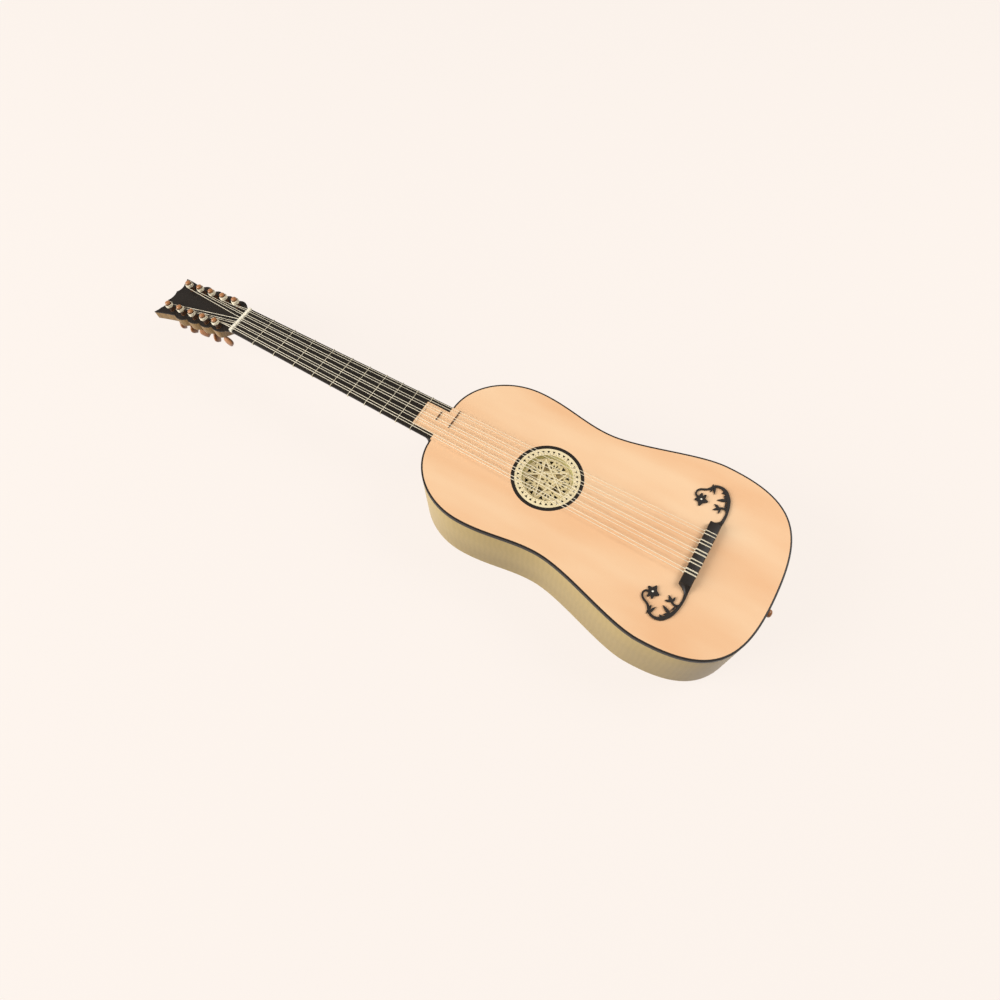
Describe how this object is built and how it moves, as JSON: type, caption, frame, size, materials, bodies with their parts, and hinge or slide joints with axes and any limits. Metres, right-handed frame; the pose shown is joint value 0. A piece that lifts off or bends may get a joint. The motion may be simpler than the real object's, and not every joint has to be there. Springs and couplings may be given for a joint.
{
  "type": "baroque guitar",
  "caption": "Five-course baroque guitar with a flat back, pierced parchment rose, tied gut frets and turning wooden pegs.",
  "frame": {"origin": "bottom centre of the whole guitar lying on its back: the middle of its length and width, at the outer face of the back", "axes": "+Z out of the soundboard, +Y along the neck towards the head, +X to the treble side"},
  "size_m": [0.247, 0.915, 0.1064],
  "materials": {
    "spruce": "thin oil varnish over quarter-sawn spruce",
    "maple": "satin varnish over pale maple",
    "ebony": "black wood, oiled and rubbed",
    "walnut": "olive-brown hardwood, oiled",
    "lime": "raw lime wood, inside the body",
    "plum": "turned fruit wood, polished",
    "bone": "polished bone",
    "parchment": "cut and layered parchment",
    "gut": "pale gut-like cord"
  },
  "bodies": {
    "guitar": {"soundboard": "spruce", "soundboard_bar_upper": "spruce", "soundboard_bar_lower": "spruce", "back_bar_upper": "spruce", "back_bar_lower": "spruce", "back": "maple", "rib_bass": "maple", "rib_treble": "maple", "binding_bass": "ebony", "binding_treble": "ebony", "soundhole_ring": "ebony", "neck": "ebony", "fingerboard": "ebony", "peghead_veneer": "ebony", "bridge": "ebony", "moustache_bass": "ebony", "moustache_treble": "ebony", "peghead": "walnut", "neck_block": "lime", "tail_block": "lime", "lining_top_bass": "lime", "lining_top_treble": "lime", "lining_back_bass": "lime", "lining_back_treble": "lime", "end_button": "plum", "body_fret_11": "plum", "body_fret_12": "plum", "nut": "bone", "rose_lattice": "parchment", "rose_well": "parchment", "string_1": "gut", "string_2": "gut", "string_3": "gut", "string_4": "gut", "string_5": "gut", "string_6": "gut", "string_7": "gut", "string_8": "gut", "string_9": "gut", "string_10": "gut"},
    "treble_peg_1": {"peg_treble_1": "plum"},
    "treble_peg_2": {"peg_treble_2": "plum"},
    "treble_peg_3": {"peg_treble_3": "plum"},
    "treble_peg_4": {"peg_treble_4": "plum"},
    "treble_peg_5": {"peg_treble_5": "plum"},
    "bass_peg_1": {"peg_bass_1": "plum"},
    "bass_peg_2": {"peg_bass_2": "plum"},
    "bass_peg_3": {"peg_bass_3": "plum"},
    "bass_peg_4": {"peg_bass_4": "plum"},
    "bass_peg_5": {"peg_bass_5": "plum"},
    "fret_1": {"tied_fret_1": "gut"},
    "fret_2": {"tied_fret_2": "gut"},
    "fret_3": {"tied_fret_3": "gut"},
    "fret_4": {"tied_fret_4": "gut"},
    "fret_5": {"tied_fret_5": "gut"},
    "fret_6": {"tied_fret_6": "gut"},
    "fret_7": {"tied_fret_7": "gut"},
    "fret_8": {"tied_fret_8": "gut"},
    "fret_9": {"tied_fret_9": "gut"},
    "fret_10": {"tied_fret_10": "gut"}
  },
  "joints": [
    {"name": "treble_peg_1_turn", "type": "hinge", "parent": "guitar", "child": "treble_peg_1", "pos_m": [0.0205, 0.3409, 0.08976], "axis": [0, 0.2079, 0.9781], "continuous": true},
    {"name": "treble_peg_2_turn", "type": "hinge", "parent": "guitar", "child": "treble_peg_2", "pos_m": [0.02063, 0.36389, 0.08487], "axis": [0, 0.2079, 0.9781], "continuous": true},
    {"name": "treble_peg_3_turn", "type": "hinge", "parent": "guitar", "child": "treble_peg_3", "pos_m": [0.02075, 0.38688, 0.07999], "axis": [0, 0.2079, 0.9781], "continuous": true},
    {"name": "treble_peg_4_turn", "type": "hinge", "parent": "guitar", "child": "treble_peg_4", "pos_m": [0.02088, 0.40986, 0.0751], "axis": [0, 0.2079, 0.9781], "continuous": true},
    {"name": "treble_peg_5_turn", "type": "hinge", "parent": "guitar", "child": "treble_peg_5", "pos_m": [0.021, 0.43285, 0.07022], "axis": [0, 0.2079, 0.9781], "continuous": true},
    {"name": "bass_peg_1_turn", "type": "hinge", "parent": "guitar", "child": "bass_peg_1", "pos_m": [-0.0205, 0.3409, 0.08976], "axis": [0, 0.2079, 0.9781], "continuous": true},
    {"name": "bass_peg_2_turn", "type": "hinge", "parent": "guitar", "child": "bass_peg_2", "pos_m": [-0.02063, 0.36389, 0.08487], "axis": [0, 0.2079, 0.9781], "continuous": true},
    {"name": "bass_peg_3_turn", "type": "hinge", "parent": "guitar", "child": "bass_peg_3", "pos_m": [-0.02075, 0.38688, 0.07999], "axis": [0, 0.2079, 0.9781], "continuous": true},
    {"name": "bass_peg_4_turn", "type": "hinge", "parent": "guitar", "child": "bass_peg_4", "pos_m": [-0.02088, 0.40986, 0.0751], "axis": [0, 0.2079, 0.9781], "continuous": true},
    {"name": "bass_peg_5_turn", "type": "hinge", "parent": "guitar", "child": "bass_peg_5", "pos_m": [-0.021, 0.43285, 0.07022], "axis": [0, 0.2079, 0.9781], "continuous": true},
    {"name": "fret_1_slide", "type": "slide", "parent": "guitar", "child": "fret_1", "axis": [0, 1, 0], "range_m": [-0.003, 0.003]},
    {"name": "fret_2_slide", "type": "slide", "parent": "guitar", "child": "fret_2", "axis": [0, 1, 0], "range_m": [-0.003, 0.003]},
    {"name": "fret_3_slide", "type": "slide", "parent": "guitar", "child": "fret_3", "axis": [0, 1, 0], "range_m": [-0.003, 0.003]},
    {"name": "fret_4_slide", "type": "slide", "parent": "guitar", "child": "fret_4", "axis": [0, 1, 0], "range_m": [-0.003, 0.003]},
    {"name": "fret_5_slide", "type": "slide", "parent": "guitar", "child": "fret_5", "axis": [0, 1, 0], "range_m": [-0.003, 0.003]},
    {"name": "fret_6_slide", "type": "slide", "parent": "guitar", "child": "fret_6", "axis": [0, 1, 0], "range_m": [-0.003, 0.003]},
    {"name": "fret_7_slide", "type": "slide", "parent": "guitar", "child": "fret_7", "axis": [0, 1, 0], "range_m": [-0.003, 0.003]},
    {"name": "fret_8_slide", "type": "slide", "parent": "guitar", "child": "fret_8", "axis": [0, 1, 0], "range_m": [-0.003, 0.003]},
    {"name": "fret_9_slide", "type": "slide", "parent": "guitar", "child": "fret_9", "axis": [0, 1, 0], "range_m": [-0.003, 0.003]},
    {"name": "fret_10_slide", "type": "slide", "parent": "guitar", "child": "fret_10", "axis": [0, 1, 0], "range_m": [-0.003, 0.003]}
  ]
}
